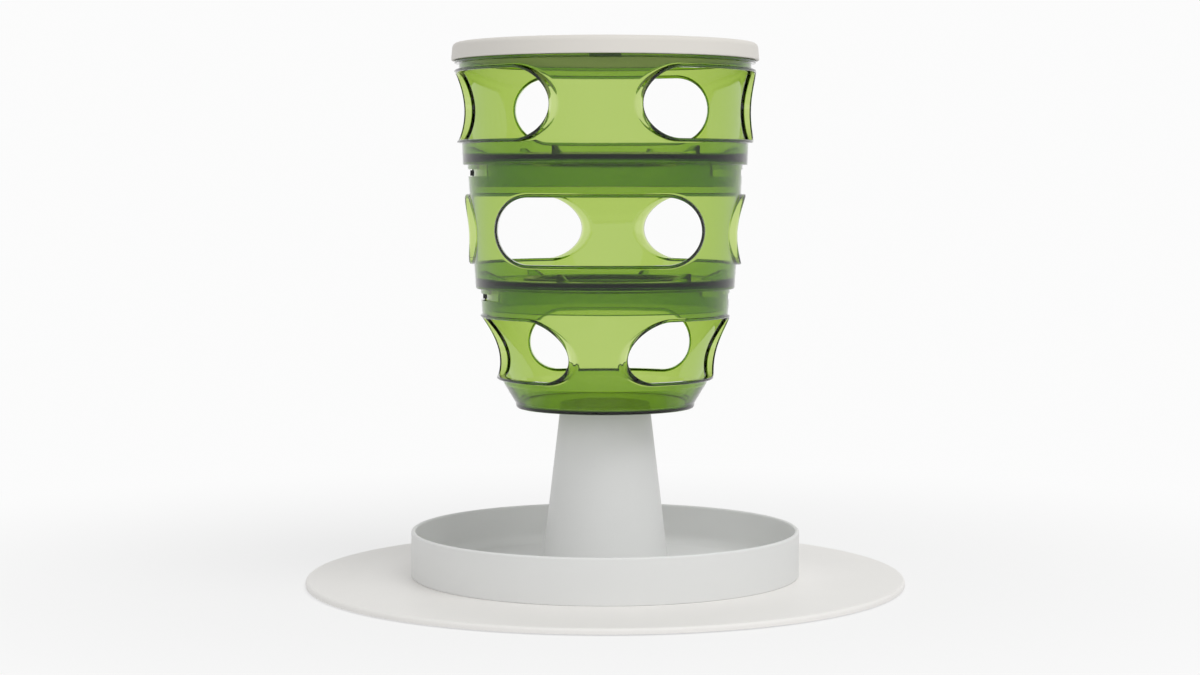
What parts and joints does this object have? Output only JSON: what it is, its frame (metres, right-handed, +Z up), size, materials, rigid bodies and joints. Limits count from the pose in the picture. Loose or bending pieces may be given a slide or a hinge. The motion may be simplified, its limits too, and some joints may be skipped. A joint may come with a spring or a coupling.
{
  "type": "cat food tree",
  "caption": "Cat food tree: see-through tower of twist-locked tiers with oblong paw openings, on a tapered column in a round dish, on a wide flat base plate.",
  "frame": {"origin": "on the floor under the middle of the base plate", "axes": "+Z up along the tower's axis, front of the object towards -Y, +X to the right seen from the front"},
  "size_m": [0.35, 0.35, 0.3143],
  "materials": {
    "plate_white": "fine satin moulding",
    "dish_white": "fine satin moulding",
    "lid_white": "fine satin moulding",
    "clear_green": "polished, see-through",
    "pad_rubber": "matt",
    "screw_steel": "zinc plated"
  },
  "bodies": {
    "base": {"base_plate": "plate_white", "rubber_pads": "pad_rubber", "food_dish": "dish_white", "column": "dish_white", "column_screws": "screw_steel"},
    "lower": {"lower_tier": "clear_green"},
    "middle": {"middle_tier": "clear_green", "middle_drop_cup": "clear_green"},
    "upper": {"upper_tier": "clear_green", "upper_drop_cup": "clear_green"},
    "lid": {"lid": "lid_white", "lid_liner": "lid_white"}
  },
  "joints": [
    {"name": "tower_lock", "type": "hinge", "parent": "base", "child": "lower", "pos_m": [0, 0, 0.1024], "axis": [0, 0, 1], "range_deg": [0, 60]},
    {"name": "middle_twist", "type": "hinge", "parent": "lower", "child": "middle", "pos_m": [0, 0, 0.1724], "axis": [0, 0, 1], "range_deg": [0, 34]},
    {"name": "upper_twist", "type": "hinge", "parent": "middle", "child": "upper", "pos_m": [0, 0, 0.244], "axis": [0, 0, 1], "range_deg": [0, 34]},
    {"name": "lid_lift", "type": "slide", "parent": "upper", "child": "lid", "axis": [0, 0, 1], "range_m": [0, 0.06]}
  ]
}
